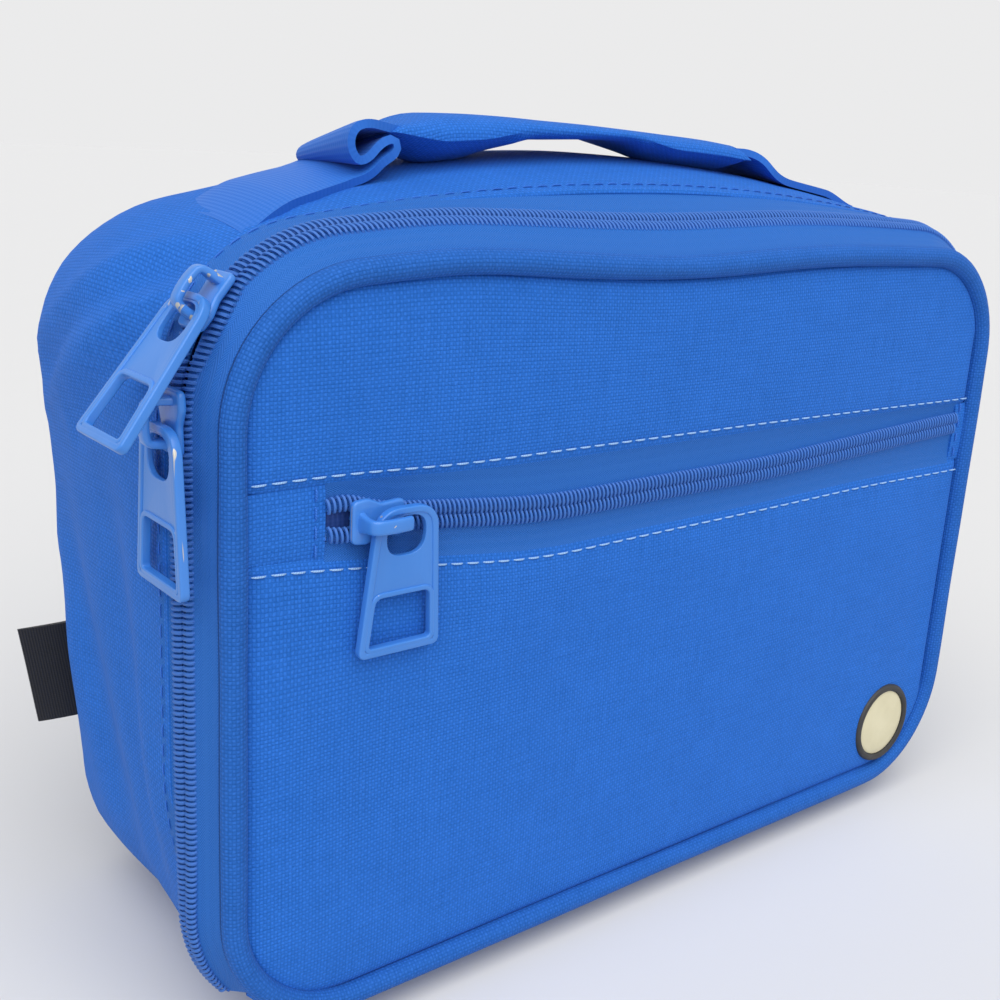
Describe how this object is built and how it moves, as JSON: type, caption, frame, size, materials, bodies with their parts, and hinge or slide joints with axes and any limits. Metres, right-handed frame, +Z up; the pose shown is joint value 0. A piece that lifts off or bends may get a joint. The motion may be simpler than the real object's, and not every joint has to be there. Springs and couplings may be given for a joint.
{
  "type": "insulated lunch bag",
  "caption": "Soft zip-up insulated lunch bag: rounded fabric case, piped front lid hinged at the bottom, zipped front pocket, metal zip pulls and a padded top handle.",
  "frame": {"origin": "on the floor under the middle of the case, halfway between the lid plane and the back", "axes": "+X to the right seen from the front, +Y from the lid to the back, +Z up"},
  "size_m": [0.2868, 0.1088, 0.2074],
  "materials": {
    "outer_fabric": "matte",
    "tape_fabric": "matte",
    "coil": "satin",
    "pull_metal": "gloss",
    "foam": "matte",
    "lining": "satin",
    "binding": "matte",
    "pocket_cloth": "matte",
    "label_cloth": "matte",
    "patch_rim": "matte",
    "patch_face": "satin",
    "cord": "matte"
  },
  "bodies": {
    "case": {"gusset": "outer_fabric", "rear_panel": "outer_fabric", "gusset_foam": "foam", "rear_foam": "foam", "case_liner": "lining", "case_binding": "binding", "case_zip_tape": "tape_fabric", "case_zip_coil": "coil", "hinge_strip": "outer_fabric", "label_tab": "label_cloth", "handle_strap_left": "outer_fabric", "handle_strap_right": "outer_fabric"},
    "handle": {"handle_grip": "outer_fabric", "handle_core": "foam"},
    "lid": {"front_panel_upper": "outer_fabric", "front_panel_lower": "outer_fabric", "front_piping": "outer_fabric", "piping_cord": "cord", "pocket_tape_upper": "tape_fabric", "pocket_tape_lower": "tape_fabric", "pocket_coil_upper": "coil", "pocket_coil_lower": "coil", "pocket_tab_left": "outer_fabric", "pocket_tab_right": "outer_fabric", "pocket_lining": "pocket_cloth", "lid_foam": "foam", "lid_liner": "lining", "lid_binding": "binding", "lid_zip_tape": "tape_fabric", "lid_zip_coil": "coil", "patch_base": "patch_rim", "patch_face": "patch_face"},
    "lower_slider": {"lower_slider": "pull_metal", "lower_slider_cap": "pull_metal"},
    "lower_pull": {"lower_pull": "pull_metal"},
    "upper_slider": {"upper_slider": "pull_metal", "upper_slider_cap": "pull_metal"},
    "upper_pull": {"upper_pull": "pull_metal"},
    "pocket_slider": {"pocket_slider": "pull_metal", "pocket_slider_cap": "pull_metal"},
    "pocket_pull": {"pocket_pull": "pull_metal"}
  },
  "joints": [
    {"name": "lid_hinge", "type": "hinge", "parent": "case", "child": "lid", "pos_m": [0, -0.05, 0.009], "axis": [1, 0, 0], "range_deg": [0, 88]},
    {"name": "handle_lift", "type": "slide", "parent": "case", "child": "handle", "axis": [0, 0, 1], "range_m": [0, 0.022], "deforming": ["handle_strap_left", "handle_strap_right"]},
    {"name": "lower_slider_run", "type": "slide", "parent": "case", "child": "lower_slider", "axis": [0, 0, 1], "range_m": [-0.095, 0]},
    {"name": "lower_pull_swing", "type": "hinge", "parent": "lower_slider", "child": "lower_pull", "pos_m": [-0.13705, -0.04, 0.1456], "axis": [0, 1, 0], "range_deg": [0, 65]},
    {"name": "upper_slider_run", "type": "hinge", "parent": "case", "child": "upper_slider", "pos_m": [-0.09675, -0.04, 0.14701], "axis": [0, 1, 0], "range_deg": [0, 38]},
    {"name": "upper_pull_swing", "type": "hinge", "parent": "upper_slider", "child": "upper_pull", "pos_m": [-0.12978, -0.04, 0.17014], "axis": [0, 1, 0], "range_deg": [0, 110]},
    {"name": "pocket_slider_run", "type": "slide", "parent": "lid", "child": "pocket_slider", "axis": [1, 0, 0], "range_m": [0, 0.2]},
    {"name": "pocket_pull_swing", "type": "hinge", "parent": "pocket_slider", "child": "pocket_pull", "pos_m": [-0.095, -0.058, 0.1215], "axis": [-1, 0, 0], "range_deg": [0, 150]}
  ]
}
